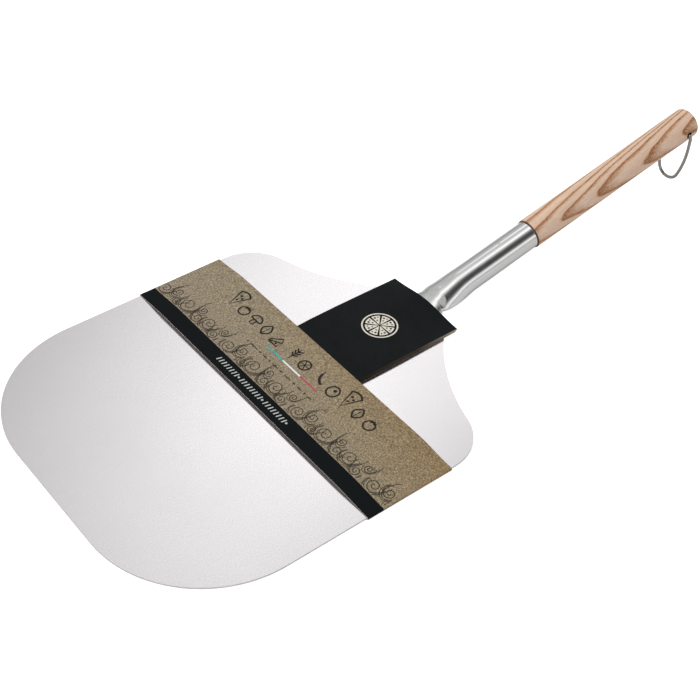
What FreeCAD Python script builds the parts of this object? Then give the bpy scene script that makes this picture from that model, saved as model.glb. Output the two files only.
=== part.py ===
import FreeCAD, Part
import math
import os

# Pizza peel: aluminium blade, flattened tube socket, ash handle with hanging ring,
# and the card sleeve (band and neck cover) it is sold in.
# Millimetres.  +X runs from the blade to the handle, +Y across, +Z up, peel lying flat.
# Lengths along the peel are given from the blade's front edge and shifted to the
# middle of the overall length when the parts are written.

os.makedirs("parts", exist_ok=True)

# ---- overall
OVERALL_LENGTH = 666.0
CARD = 0.4                      # folding-box card
SLEEVE_GAP = 0.15               # loose fit between blade and card underneath
SHEET = 1.5                     # blade sheet
BLADE_BOTTOM = CARD + SLEEVE_GAP
BLADE_TOP = BLADE_BOTTOM + SHEET

# ---- blade
BLADE_WIDTH = 300.0
BLADE_LENGTH = 355.0
FRONT_CORNER_R = 97.5
SIDE_END = 253.0                # where the straight sides stop
SHOULDER_R = 40.4
SHOULDER_TURN = 74.6            # degrees
NECK_R = 184.3                  # hollow curve running into the neck end

# ---- socket tube
TILT = 11.97                    # degrees, handle above the blade
AXIS_ROOT = 361.6               # where the handle axis meets the blade's top plane
TUBE_R = 12.5
TUBE_WALL = 1.2
TUBE_END = 109.0                # distances from AXIS_ROOT along the axis
NECK_AT = -3.7                  # section just behind the blade
NECK_HALF = 17.0                # half its width
NECK_FLARE = 2.0                # how fast the width limit opens behind it
NECK_LEAN = 14.0                # length over which the sections lean back to square
CROWN_DROP = 1.5                # how far the pressing lowers the crown, slowly
DROP_START = 30.0               # the crown starts to fall here, coming forward
DROP_LENGTH = 22.0
LIP_DROP = 2.5                  # its last, steeper fall, at the lip behind the blade
LIP_START = 7.0
LIP_LENGTH = LIP_START - NECK_AT
SPREAD = 5.75                   # growth of the crown's radius as far as the axis root
SPREAD_START = 38.0             # the crown starts to open out here, coming forward
SPREAD_POWER = 1.7
PRESSED_END = 57.0              # the tube is round behind this
CREASE_R = 2.4                  # rounded crease along each lower edge
CREASE_LEAST = 0.25
SOCKET_CUT = 358.0              # the lower wall is cut away in front of this

# ---- tongue on the blade
TONGUE_FRONT = 286.0
TONGUE_FLAT = 322.0             # flat in front of this, arched behind
TONGUE_HALF = 18.0
TONGUE_CREASE_R = 1.0
TONGUE_HOLLOW = 5.0             # the underside's hollow starts this far behind TONGUE_FLAT
TONGUE_LEAST_RISE = 0.03
ARCH_POWER = 1.5
RIVET_SPOTS = ((312.0, 0.0), (297.0, 9.0), (297.0, -9.0))
RIVET_SHANK_R = 2.4
RIVET_HEAD_R = 4.5
RIVET_HEAD_H = 1.5
RIVET_SINK_R = 3.8
RIVET_SINK_H = 1.1

# ---- wooden grip
TENON_START = 50.0
TENON_R = 11.2
GRIP_FRONT_R = 13.5
GRIP_SIDE = ((180.0, 13.6), (240.0, 13.75), (280.0, 13.95))     # distance, radius
GRIP_END_R = 14.0
GRIP_EDGE_R = 3.0
SHOULDER_ROUND = 0.9
HOLE_AT = 295.8
HOLE_R = 2.7
NAIL_AT = 76.4
NAIL_HEAD_R = 1.3
NAIL_HEAD_H = 0.35
NAIL_R = 0.8
NAIL_LENGTH = 12.0

# ---- hanging ring
WIRE_R = 1.5
RING_DROP = 0.6                 # the wire hangs this far below the hole's centre
RING_HALF = 16.2
RING_BEND_R = 2.6
RING_STRAIGHT = 12.0
RING_LENGTH = 52.0
RING_END_R = 11.0

# ---- card band
BAND_FRONT = 168.0
BAND_REAR = 248.0
BAND_HALF = 151.5
FOLD_BULGE = 1.2                # the side folds round out this far past the top's edges
BAND_EDGE_RISE = 0.75           # outer face above the blade at the side folds
BAND_FRONT_RISE = 2.8           # outer face above the blade on the flat middle
BAND_REAR_RISE = 4.1
BAND_SLOPE_WIDTH = 38.0         # width of the rise next to each fold

# ---- card neck cover
COVER_FRONT = 215.0             # tucked under the band as far as this
COVER_REAR = 352.6
COVER_HALF = 40.0
COVER_LIFT = 0.3                # lower edges of the side walls above the blade
COVER_TIP_BEVEL = 2.2
COVER_FREE_RISE = 4.1           # height of the side walls just behind the band
COVER_TIP_FALL = 1.1            # how much lower they are at the rear tips
COVER_STEP_START = BAND_REAR + 1.0
COVER_STEP_LENGTH = 16.0        # rise from the tucked height to the free height
COVER_FALL_START = 290.0
COVER_BUMP_START = 318.0        # the top panel lifts over the socket from here
COVER_BUMP_POWER = 1.4
COVER_CLEARANCE = 0.35
TUCK_GAP = 0.1

# ---- how finely the curved sections are divided
ROUND_POINTS = 48
FINE_POINTS = 1440
TONGUE_STEPS = 10
TUBE_STEPS = 26
BAND_STEPS = 60
COVER_STEPS = 32
COVER_RISE_STEPS = 6
COVER_BUMP_STEPS = 10
TILT_RAD = math.radians(TILT)
ALONG = FreeCAD.Vector(math.cos(TILT_RAD), 0, math.sin(TILT_RAD))
UPWARD = FreeCAD.Vector(-math.sin(TILT_RAD), 0, math.cos(TILT_RAD))
SIDEWAYS = FreeCAD.Vector(0, 1, 0)


def axis_point(distance):
    root = FreeCAD.Vector(AXIS_ROOT, 0, BLADE_TOP)
    return root + ALONG * distance


def grip_end():
    edge = GRIP_END_R - GRIP_EDGE_R
    reach = OVERALL_LENGTH - AXIS_ROOT - GRIP_EDGE_R - edge * math.sin(TILT_RAD)
    return reach / math.cos(TILT_RAD) + GRIP_EDGE_R


def eased(share):
    """0 to 1 with a gentle start and end."""
    kept = min(max(share, 0), 1)
    return kept * kept * (3 - 2 * kept)


def spline_edge(points):
    curve = Part.BSplineCurve()
    curve.interpolate(points)
    return curve.toShape()


def line(start, end):
    return Part.makeLine(start, end)


# ------------------------------------------------------------------ blade

def blade_half_points():
    half = BLADE_WIDTH / 2
    turn = math.radians(SHOULDER_TURN)
    shoulder_y = half - SHOULDER_R
    join_x = SIDE_END + SHOULDER_R * math.sin(turn)
    join_y = shoulder_y + SHOULDER_R * math.cos(turn)
    hollow_x = join_x + NECK_R * math.sin(turn)
    hollow_y = join_y + NECK_R * math.cos(turn)
    end_angle = math.asin((hollow_x - BLADE_LENGTH) / NECK_R)
    end_y = hollow_y - NECK_R * math.cos(end_angle)
    middle = (turn + end_angle) / 2
    return {
        "corner_start": (0.0, half - FRONT_CORNER_R),
        "corner_mid": (
            FRONT_CORNER_R * (1 - math.cos(math.pi / 4)),
            half - FRONT_CORNER_R * (1 - math.sin(math.pi / 4)),
        ),
        "corner_end": (FRONT_CORNER_R, half),
        "side_end": (SIDE_END, half),
        "shoulder_mid": (
            SIDE_END + SHOULDER_R * math.sin(turn / 2),
            shoulder_y + SHOULDER_R * math.cos(turn / 2),
        ),
        "shoulder_end": (join_x, join_y),
        "hollow_mid": (
            hollow_x - NECK_R * math.sin(middle),
            hollow_y - NECK_R * math.cos(middle),
        ),
        "neck_end": (BLADE_LENGTH, end_y),
    }


def blade_side_edges(side):
    spots = blade_half_points()
    at = {}
    for name, (x, y) in spots.items():
        at[name] = FreeCAD.Vector(x, y * side, BLADE_BOTTOM)
    return [
        Part.Arc(at["corner_start"], at["corner_mid"], at["corner_end"]).toShape(),
        line(at["corner_end"], at["side_end"]),
        Part.Arc(at["side_end"], at["shoulder_mid"], at["shoulder_end"]).toShape(),
        Part.Arc(at["shoulder_end"], at["hollow_mid"], at["neck_end"]).toShape(),
    ]


def make_blade():
    spots = blade_half_points()
    front_y = spots["corner_start"][1]
    neck_y = spots["neck_end"][1]
    front = line(
        FreeCAD.Vector(0, -front_y, BLADE_BOTTOM),
        FreeCAD.Vector(0, front_y, BLADE_BOTTOM),
    )
    neck = line(
        FreeCAD.Vector(BLADE_LENGTH, neck_y, BLADE_BOTTOM),
        FreeCAD.Vector(BLADE_LENGTH, -neck_y, BLADE_BOTTOM),
    )
    edges = [front] + blade_side_edges(1) + [neck] + blade_side_edges(-1)
    outline = Part.Wire(Part.__sortEdges__(edges))
    blade = Part.Face(outline).extrude(FreeCAD.Vector(0, 0, SHEET))
    for x, y in RIVET_SPOTS:
        blade = blade.cut(rivet_body(x, y))
    return blade


# ------------------------------------------------------------------ rivets

def rivet_body(x, y):
    shank = Part.makeCylinder(
        RIVET_SHANK_R, SHEET + TUBE_WALL, FreeCAD.Vector(x, y, BLADE_BOTTOM)
    )
    sink = Part.makeCone(
        RIVET_SINK_R, RIVET_SHANK_R, RIVET_SINK_H, FreeCAD.Vector(x, y, BLADE_BOTTOM)
    )
    return shank.fuse(sink)


def make_rivet(x, y):
    seat = BLADE_TOP + TUBE_WALL
    dome_r = (RIVET_HEAD_R ** 2 + RIVET_HEAD_H ** 2) / (2 * RIVET_HEAD_H)
    ball = Part.makeSphere(
        dome_r, FreeCAD.Vector(x, y, seat + RIVET_HEAD_H - dome_r)
    )
    keep = Part.makeCylinder(RIVET_HEAD_R + 1, RIVET_HEAD_H + 1, FreeCAD.Vector(x, y, seat))
    head = ball.common(keep)
    return rivet_body(x, y).fuse(head).removeSplitter()


# ------------------------------------------------------------------ socket

def section_support(angle, disc_r, disc_z, half, floor):
    """Furthest point of disc-and-box overlap in a direction measured from straight up."""
    reach = (math.sin(angle), math.cos(angle))
    y = disc_r * reach[0]
    z = disc_z + disc_r * reach[1]
    if abs(y) <= half and z >= floor:
        return (y, z)
    side = 1 if reach[0] >= 0 else -1
    inner_half = min(half, disc_r)
    corners = [(side * inner_half, floor)]
    side_z = disc_z + math.sqrt(max(disc_r ** 2 - inner_half ** 2, 0))
    floor_y = math.sqrt(max(disc_r ** 2 - (floor - disc_z) ** 2, 0))
    if floor_y < inner_half:
        corners = [(side * floor_y, floor)]
    else:
        corners.append((side * inner_half, side_z))
    return max(corners, key=lambda p: p[0] * reach[0] + p[1] * reach[1])


def section_outline(crown_r, crown_z, half, floor, crease_r, inset):
    """Closed outline of the tube: round crown, flat floor, rounded creases."""
    crease = max(crease_r - inset, CREASE_LEAST)
    disc_r = crown_r - inset - crease
    box_half = half - inset - crease
    box_floor = max(floor + inset, crown_z - crown_r + inset) + crease
    fine = []
    for k in range(FINE_POINTS):
        angle = 2 * math.pi * k / FINE_POINTS
        y, z = section_support(angle, disc_r, crown_z, box_half, box_floor)
        fine.append((y + crease * math.sin(angle), z + crease * math.cos(angle)))
    return even_points(fine, ROUND_POINTS)


def even_points(fine, count):
    closed = fine + [fine[0]]
    lengths = [0.0]
    for a, b in zip(closed, closed[1:]):
        lengths.append(lengths[-1] + math.hypot(b[0] - a[0], b[1] - a[1]))
    spread = []
    k = 0
    for i in range(count):
        target = lengths[-1] * i / count
        while lengths[k + 1] < target:
            k += 1
        span = lengths[k + 1] - lengths[k]
        part = (target - lengths[k]) / span if span > 0 else 0.0
        a = closed[k]
        b = closed[k + 1]
        spread.append((a[0] + (b[0] - a[0]) * part, a[1] + (b[1] - a[1]) * part))
    return spread


def crown_top(distance):
    """Height of the tube's top above its axis."""
    slow = CROWN_DROP * eased((DROP_START - distance) / DROP_LENGTH)
    lip = LIP_DROP * eased((LIP_START - distance) / LIP_LENGTH)
    return TUBE_R - slow - lip


def crown_radius(distance):
    along = max((SPREAD_START - distance) / SPREAD_START, 0)
    return TUBE_R + SPREAD * along ** SPREAD_POWER


def tube_station(distance, inset):
    """Section across the tube; it leans with the axis and stands up near the blade."""
    crown_r = crown_radius(distance)
    crown_z = crown_top(distance) - crown_r
    lean = TILT_RAD * min(max((distance - NECK_AT) / NECK_LEAN, 0), 1)
    origin = axis_point(distance)
    up = FreeCAD.Vector(-math.sin(lean), 0, math.cos(lean))
    floor = -(origin.z - BLADE_BOTTOM) / math.cos(lean)
    half = NECK_HALF + NECK_FLARE * max(distance - NECK_AT, 0)
    points = section_outline(crown_r, crown_z, half, floor, CREASE_R, inset)
    return section_wire(origin, up, points)


def arch_height(x):
    along = max(x - TONGUE_FLAT, 0) / (SOCKET_CUT - TONGUE_FLAT)
    full = crown_top(NECK_AT) + NECK_AT * math.sin(TILT_RAD)
    return TUBE_WALL + (full - TUBE_WALL) * along ** ARCH_POWER


def tongue_station(x, inset):
    """Section of the tongue: flat in front, arching up towards the tube."""
    along = max(x - TONGUE_FLAT, 0) / (SOCKET_CUT - TONGUE_FLAT)
    height = arch_height(x)
    edge = TUBE_WALL * (1 - along)
    rise = max(height - edge, TONGUE_LEAST_RISE)
    half = TONGUE_HALF - (height - TUBE_WALL) ** 2 * 2 / 3 / TONGUE_HALF
    crown_r = (half ** 2 + rise ** 2) / (2 * rise)
    crease = TONGUE_CREASE_R + (CREASE_R - TONGUE_CREASE_R) * along
    origin = FreeCAD.Vector(x, 0, BLADE_TOP)
    up = FreeCAD.Vector(0, 0, 1)
    points = section_outline(crown_r, height - crown_r, half, -SHEET, crease, inset)
    return section_wire(origin, up, points)


def section_wire(origin, up, points):
    placed = [origin + SIDEWAYS * y + up * z for y, z in points]
    curve = Part.BSplineCurve()
    curve.interpolate(placed, PeriodicFlag=True)
    return Part.Wire([curve.toShape()])


def spaced(start, end, count):
    return [start + (end - start) * k / count for k in range(count + 1)]


def make_socket():
    arch_end = SOCKET_CUT - 2.0
    neck = NECK_AT + 0.5
    tongue = [TONGUE_FRONT] + spaced(TONGUE_FLAT, arch_end, TONGUE_STEPS)
    hollow = spaced(TONGUE_FLAT + TONGUE_HOLLOW, arch_end, TONGUE_STEPS)
    tube = spaced(neck, PRESSED_END, TUBE_STEPS)
    outer = [tongue_station(x, 0) for x in tongue]
    outer = outer + [tube_station(d, 0) for d in tube + [TUBE_END]]
    inner = [tongue_station(x, TUBE_WALL) for x in hollow]
    inner = inner + [tube_station(d, TUBE_WALL) for d in tube + [TUBE_END + 2.0]]
    shell = Part.makeLoft(outer, True, True).cut(Part.makeLoft(inner, True, True))
    socket = shell.cut(below_tongue_tool())
    for x, y in RIVET_SPOTS:
        socket = socket.cut(rivet_body(x, y))
    socket = socket.cut(round_tongue_tool())
    return socket.cut(nail_shank())


def below_tongue_tool():
    """Everything under the blade's top face, in front of where the lower wall is cut away."""
    length = SOCKET_CUT - TONGUE_FRONT + 20.0
    width = TONGUE_HALF * 4
    height = 20.0
    corner = FreeCAD.Vector(SOCKET_CUT - length, -width / 2, BLADE_TOP - height)
    return Part.makeBox(length, width, height, corner)


def round_tongue_tool():
    """Waste outside the tongue's rounded front end."""
    depth = TONGUE_HALF * 0.9
    block = Part.makeBox(depth, 60.0, 10.0, FreeCAD.Vector(TONGUE_FRONT - 0.5, -30.0, BLADE_TOP - 1))
    front_r = (TONGUE_HALF ** 2 + depth ** 2) / (2 * depth)
    disc = Part.makeCylinder(
        front_r, 10.0, FreeCAD.Vector(TONGUE_FRONT + front_r, 0, BLADE_TOP - 1)
    )
    return block.cut(disc)


# ------------------------------------------------------------------ grip and nail

def grip_profile(distance, radius):
    return axis_point(distance) + UPWARD * radius


def make_grip():
    end = grip_end()
    start = grip_profile(TENON_START, 0)
    tenon_front = grip_profile(TENON_START, TENON_R)
    tenon_back = grip_profile(TUBE_END, TENON_R)
    face_edge = grip_profile(TUBE_END, GRIP_FRONT_R - SHOULDER_ROUND)
    bend = SHOULDER_ROUND * (1 - math.cos(math.pi / 4))
    face_mid = grip_profile(TUBE_END + bend, GRIP_FRONT_R - bend)
    side_start = grip_profile(TUBE_END + SHOULDER_ROUND, GRIP_FRONT_R)
    side = [
        side_start,
    ]
    side = side + [grip_profile(distance, radius) for distance, radius in GRIP_SIDE]
    side.append(grip_profile(end - GRIP_EDGE_R, GRIP_END_R))
    turn = GRIP_EDGE_R * (1 - math.cos(math.pi / 4))
    end_mid = grip_profile(end - turn, GRIP_END_R - turn)
    end_face = grip_profile(end, GRIP_END_R - GRIP_EDGE_R)
    end_centre = grip_profile(end, 0)
    edges = [
        line(start, tenon_front),
        line(tenon_front, tenon_back),
        line(tenon_back, face_edge),
        Part.Arc(face_edge, face_mid, side_start).toShape(),
        spline_edge(side),
        Part.Arc(side[-1], end_mid, end_face).toShape(),
        line(end_face, end_centre),
        line(end_centre, start),
    ]
    face = Part.Face(Part.Wire(edges))
    grip = face.revolve(start, ALONG, 360)
    hole = Part.makeCylinder(
        HOLE_R, 60.0, axis_point(HOLE_AT) - SIDEWAYS * 30.0, SIDEWAYS
    )
    return grip.cut(hole).cut(nail_shank())


def nail_shank():
    top = axis_point(NAIL_AT) + UPWARD * TUBE_R
    return Part.makeCylinder(NAIL_R, NAIL_LENGTH, top - UPWARD * NAIL_LENGTH, UPWARD)


def make_nail():
    seat = axis_point(NAIL_AT) + UPWARD * (TUBE_R - 0.02)
    dome_r = (NAIL_HEAD_R ** 2 + NAIL_HEAD_H ** 2) / (2 * NAIL_HEAD_H)
    ball = Part.makeSphere(dome_r, seat + UPWARD * (NAIL_HEAD_H - dome_r))
    keep = Part.makeCylinder(NAIL_HEAD_R + 1, NAIL_HEAD_H + 1, seat - UPWARD * 0.2, UPWARD)
    tube = Part.makeCylinder(TUBE_R, 20.0, axis_point(NAIL_AT - 10.0), ALONG)
    head = ball.common(keep).cut(tube)
    return nail_shank().common(tube).fuse(head).removeSplitter()


# ------------------------------------------------------------------ hanging ring

def ring_centre():
    return axis_point(HOLE_AT) - FreeCAD.Vector(0, 0, RING_DROP)


def ring_spot(y, drop):
    return ring_centre() + FreeCAD.Vector(0, y, -drop)


def make_ring():
    end_drop = RING_LENGTH - RING_END_R
    side_r = (RING_HALF ** 2 + (end_drop - RING_STRAIGHT) ** 2 - RING_END_R ** 2)
    side_r = side_r / (2 * (RING_HALF - RING_END_R))
    side_y = RING_HALF - side_r
    turn = math.atan2(end_drop - RING_STRAIGHT, -side_y)
    bar_y = RING_HALF - RING_BEND_R
    half = math.pi / 4
    bend_mid = (
        bar_y + RING_BEND_R * math.sin(half),
        RING_BEND_R - RING_BEND_R * math.cos(half),
    )
    side_mid = (
        side_y + side_r * math.cos(turn / 2),
        RING_STRAIGHT + side_r * math.sin(turn / 2),
    )
    side_end = (side_y + side_r * math.cos(turn), RING_STRAIGHT + side_r * math.sin(turn))
    sides = {}
    for side in (1, -1):
        sides[side] = [
            line(ring_spot(0, 0), ring_spot(side * bar_y, 0)),
            Part.Arc(
                ring_spot(side * bar_y, 0),
                ring_spot(side * bend_mid[0], bend_mid[1]),
                ring_spot(side * RING_HALF, RING_BEND_R),
            ).toShape(),
            line(ring_spot(side * RING_HALF, RING_BEND_R), ring_spot(side * RING_HALF, RING_STRAIGHT)),
            Part.Arc(
                ring_spot(side * RING_HALF, RING_STRAIGHT),
                ring_spot(side * side_mid[0], side_mid[1]),
                ring_spot(side * side_end[0], side_end[1]),
            ).toShape(),
        ]
    bottom = Part.Arc(
        ring_spot(side_end[0], side_end[1]),
        ring_spot(0, RING_LENGTH),
        ring_spot(-side_end[0], side_end[1]),
    ).toShape()
    path = Part.Wire(sides[1] + [bottom] + list(reversed(sides[-1])))
    profile = Part.Wire([Part.makeCircle(WIRE_R, ring_spot(0, 0), SIDEWAYS)])
    return path.makePipeShell([profile], True, False)


# ------------------------------------------------------------------ card sleeve

def band_rise(x):
    share = (x - BAND_FRONT) / (BAND_REAR - BAND_FRONT)
    return BAND_FRONT_RISE + (BAND_REAR_RISE - BAND_FRONT_RISE) * share


def band_height(x, y):
    """Height of the band's outer face above the blade."""
    fold = BAND_HALF - FOLD_BULGE
    ease = eased((fold - abs(y)) / BAND_SLOPE_WIDTH)
    return BAND_EDGE_RISE + (band_rise(x) - BAND_EDGE_RISE) * ease


def band_wire(x, inset):
    half = BAND_HALF - inset
    fold = BAND_HALF - FOLD_BULGE
    bottom = inset
    top_points = []
    for k in range(BAND_STEPS + 1):
        y = -fold + 2 * fold * k / BAND_STEPS
        z = BLADE_TOP + band_height(x, y) - inset
        top_points.append(FreeCAD.Vector(x, y, z))
    top = spline_edge(top_points)
    left_top = top_points[0]
    right_top = top_points[-1]
    left_bottom = FreeCAD.Vector(x, -fold, bottom)
    right_bottom = FreeCAD.Vector(x, fold, bottom)
    middle_z = (left_top.z + bottom) / 2
    left = Part.Arc(left_bottom, FreeCAD.Vector(x, -half, middle_z), left_top).toShape()
    right = Part.Arc(right_top, FreeCAD.Vector(x, half, middle_z), right_bottom).toShape()
    floor = line(right_bottom, left_bottom)
    return Part.Wire([top, right, floor, left])


def make_band():
    outer = Part.makeLoft([band_wire(BAND_FRONT, 0), band_wire(BAND_REAR, 0)], True, True)
    inner_front = band_wire(BAND_FRONT, CARD)
    inner_rear = band_wire(BAND_REAR, CARD)
    inner = Part.makeLoft([inner_front, inner_rear], True, True)
    return outer.cut(inner)


def cover_side_height(x):
    """Outer face of the cover above the blade along its side folds."""
    tucked = band_rise(min(x, BAND_REAR)) - CARD - TUCK_GAP
    free = COVER_FREE_RISE - COVER_TIP_FALL * max(x - COVER_FALL_START, 0) / (COVER_REAR - COVER_FALL_START)
    return tucked + (free - tucked) * eased((x - COVER_STEP_START) / COVER_STEP_LENGTH)


def cover_bump(x):
    """Extra height over the arch of the socket."""
    top = arch_height(COVER_REAR) + COVER_CLEARANCE + CARD
    along = max(x - COVER_BUMP_START, 0) / (COVER_REAR - COVER_BUMP_START)
    return (top - cover_side_height(COVER_REAR)) * along ** COVER_BUMP_POWER


def cover_wire(x):
    side = cover_side_height(x)
    bump = cover_bump(x)
    outer_points = []
    inner_points = []
    for k in range(COVER_STEPS + 1):
        share = k / COVER_STEPS
        y = -COVER_HALF + 2 * COVER_HALF * share
        shape = math.cos(math.pi * y / (2 * COVER_HALF)) ** 2
        z = BLADE_TOP + side + bump * shape
        outer_points.append(FreeCAD.Vector(x, y, z))
        inner_y = y * (COVER_HALF - CARD) / COVER_HALF
        inner_points.append(FreeCAD.Vector(x, inner_y, z - CARD))
    foot = BLADE_TOP + COVER_LIFT
    left_out = FreeCAD.Vector(x, -COVER_HALF, foot)
    right_out = FreeCAD.Vector(x, COVER_HALF, foot)
    left_in = FreeCAD.Vector(x, -COVER_HALF + CARD, foot)
    right_in = FreeCAD.Vector(x, COVER_HALF - CARD, foot)
    edges = [
        line(left_out, outer_points[0]),
        spline_edge(outer_points),
        line(outer_points[-1], right_out),
        line(right_out, right_in),
        line(right_in, inner_points[-1]),
        spline_edge(list(reversed(inner_points))),
        line(inner_points[0], left_in),
        line(left_in, left_out),
    ]
    return Part.Wire(edges)


def make_cover():
    step_end = COVER_STEP_START + COVER_STEP_LENGTH
    stations = [COVER_FRONT, BAND_REAR]
    stations = stations + spaced(COVER_STEP_START, step_end, COVER_RISE_STEPS)
    stations = stations + [COVER_FALL_START]
    stations = stations + spaced(COVER_BUMP_START, COVER_REAR, COVER_BUMP_STEPS)
    cover = Part.makeLoft([cover_wire(x) for x in stations], True, True)
    foot = BLADE_TOP + COVER_LIFT
    reach = COVER_TIP_BEVEL
    outside = -1.5 * COVER_HALF
    corner = [
        FreeCAD.Vector(COVER_REAR + 1, outside, foot - 1),
        FreeCAD.Vector(COVER_REAR - reach - 1, outside, foot - 1),
        FreeCAD.Vector(COVER_REAR + 1, outside, foot + reach + 1),
        FreeCAD.Vector(COVER_REAR + 1, outside, foot - 1),
    ]
    wedge = Part.Face(Part.makePolygon(corner)).extrude(SIDEWAYS * 3 * COVER_HALF)
    return cover.cut(wedge)


# ------------------------------------------------------------------ output

def write(name, shape):
    shape = shape.copy()
    shape.translate(FreeCAD.Vector(-OVERALL_LENGTH / 2, 0, 0))
    if len(shape.Solids) == 1:
        shape = shape.Solids[0]
    box = shape.BoundBox
    print(
        name, "solids", len(shape.Solids), "valid", shape.isValid(), "volume", round(shape.Volume, 1),
        "x", round(box.XMin, 2), round(box.XMax, 2), "y", round(box.YMin, 2), round(box.YMax, 2),
        "z", round(box.ZMin, 2), round(box.ZMax, 2),
    )
    shape.exportStep("parts/" + name + ".step")


write("blade", make_blade())
write("handle_socket", make_socket())
write("rivet_rear", make_rivet(*RIVET_SPOTS[0]))
write("rivet_left", make_rivet(*RIVET_SPOTS[1]))
write("rivet_right", make_rivet(*RIVET_SPOTS[2]))
write("handle_grip", make_grip())
write("socket_nail", make_nail())
write("hanging_ring", make_ring())
write("card_band", make_band())
write("neck_cover", make_cover())
hinge = ring_centre() - FreeCAD.Vector(OVERALL_LENGTH / 2, 0, 0)
print("ring hinge", round(hinge.x, 3), round(hinge.y, 3), round(hinge.z, 3))
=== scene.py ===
import math

import bmesh
import bpy
from mathutils import Matrix, Vector


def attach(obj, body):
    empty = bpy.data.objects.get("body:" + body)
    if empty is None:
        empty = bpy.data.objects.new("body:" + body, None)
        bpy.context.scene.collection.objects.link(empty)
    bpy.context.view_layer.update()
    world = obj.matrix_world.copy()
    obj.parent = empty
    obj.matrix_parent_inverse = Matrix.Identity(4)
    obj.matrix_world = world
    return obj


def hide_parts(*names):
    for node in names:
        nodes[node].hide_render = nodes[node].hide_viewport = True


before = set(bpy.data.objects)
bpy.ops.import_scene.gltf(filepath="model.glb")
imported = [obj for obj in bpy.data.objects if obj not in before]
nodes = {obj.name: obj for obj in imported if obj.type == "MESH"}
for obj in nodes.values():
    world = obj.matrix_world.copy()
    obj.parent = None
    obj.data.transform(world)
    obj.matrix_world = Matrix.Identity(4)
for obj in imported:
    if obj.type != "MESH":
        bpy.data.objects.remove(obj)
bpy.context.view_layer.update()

# ------------------------------------------------------------------ blade
# One flat sheet of rolled aluminium, 1.5 mm thick, cut to outline and tumbled.
# Tumbling leaves a fine, even speckle and takes the sharpness off its edge.

MM = 0.001


def colour(hex_value):
    """An sRGB hex value as linear red, green, blue and alpha."""
    parts = [int(hex_value[i:i + 2], 16) / 255 for i in (0, 2, 4)]
    linear = [p / 12.92 if p <= 0.04045 else ((p + 0.055) / 1.055) ** 2.4 for p in parts]
    return (*linear, 1.0)


def new_material(name):
    material = bpy.data.materials.new(name)
    material.use_nodes = True
    material.node_tree.nodes.clear()
    return material


def add_node(owner, kind, settings=None, **inputs):
    """Adds a node. Settings go on the node; inputs, named or i0, i1, are values or sockets."""
    node = owner.node_tree.nodes.new(kind)
    for key, value in (settings or {}).items():
        setattr(node, key, value)
    for key, value in inputs.items():
        by_number = key[0] == "i" and key[1:].isdigit()
        socket = node.inputs[int(key[1:])] if by_number else node.inputs[key.replace("_", " ")]
        if isinstance(value, bpy.types.NodeSocket):
            owner.node_tree.links.new(value, socket)
        else:
            socket.default_value = value
    return node


def set_ramp(node, stops, interpolation="LINEAR"):
    """Gives a colour ramp its stops: (position, hex colour or grey level)."""
    ramp = node.color_ramp
    ramp.interpolation = interpolation
    while len(ramp.elements) > 1:
        ramp.elements.remove(ramp.elements[-1])
    for index, (position, value) in enumerate(stops):
        element = ramp.elements[0] if index == 0 else ramp.elements.new(position)
        element.position = position
        element.color = colour(value) if isinstance(value, str) else (value, value, value, 1)
    return node


def dress(node_name, material):
    """Puts a material on a CAD node in place of its plain one."""
    mesh = nodes[node_name].data
    mesh.materials.clear()
    mesh.materials.append(material)


# Satin rolled aluminium: bright, faintly warm grey, with a speckle under a
# millimetre that blurs reflections, and hardly visible rolling lines along it.
SPECKLE = 0.7 * MM
ROLLING_LINE = 0.6 * MM


def rolled_aluminium():
    metal = new_material("rolled_aluminium_tumbled")
    place = add_node(metal, "ShaderNodeTexCoord")
    speckle = add_node(metal, "ShaderNodeTexNoise", Vector=place.outputs["Object"],
                       Scale=1 / SPECKLE, Detail=3.0, Roughness=0.7)
    along = add_node(metal, "ShaderNodeMapping", Vector=place.outputs["Object"],
                     Scale=(60.0, 1 / ROLLING_LINE, 1.0))
    lines = add_node(metal, "ShaderNodeTexNoise", Vector=along.outputs[0], Scale=1.0, Detail=4.0)
    clouds = add_node(metal, "ShaderNodeTexNoise", Vector=place.outputs["Object"], Scale=9.0, Detail=2.0)
    tint = set_ramp(add_node(metal, "ShaderNodeValToRGB", Fac=speckle.outputs[0]),
                    [(0.30, "d3d0d2"), (0.70, "f8f5f7")])
    streak = set_ramp(add_node(metal, "ShaderNodeValToRGB", Fac=lines.outputs[0]),
                      [(0.30, "f9f9f9"), (0.62, "ffffff")])
    both = add_node(metal, "ShaderNodeMix", {"data_type": "RGBA", "blend_type": "MULTIPLY"},
                    i0=0.6, i6=tint.outputs[0], i7=streak.outputs[0])
    rough = add_node(metal, "ShaderNodeMapRange", Value=clouds.outputs[0], i1=0.3, i2=0.7, i3=0.16, i4=0.20)
    bump = add_node(metal, "ShaderNodeBump", Height=speckle.outputs[0], Strength=0.14, Distance=0.1 * MM)
    shader = add_node(metal, "ShaderNodeBsdfPrincipled", Base_Color=both.outputs[2], Metallic=1.0,
                      Roughness=rough.outputs[0], Normal=bump.outputs[0])
    add_node(metal, "ShaderNodeOutputMaterial", Surface=shader.outputs[0])
    return metal


dress("blade", rolled_aluminium())

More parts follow.
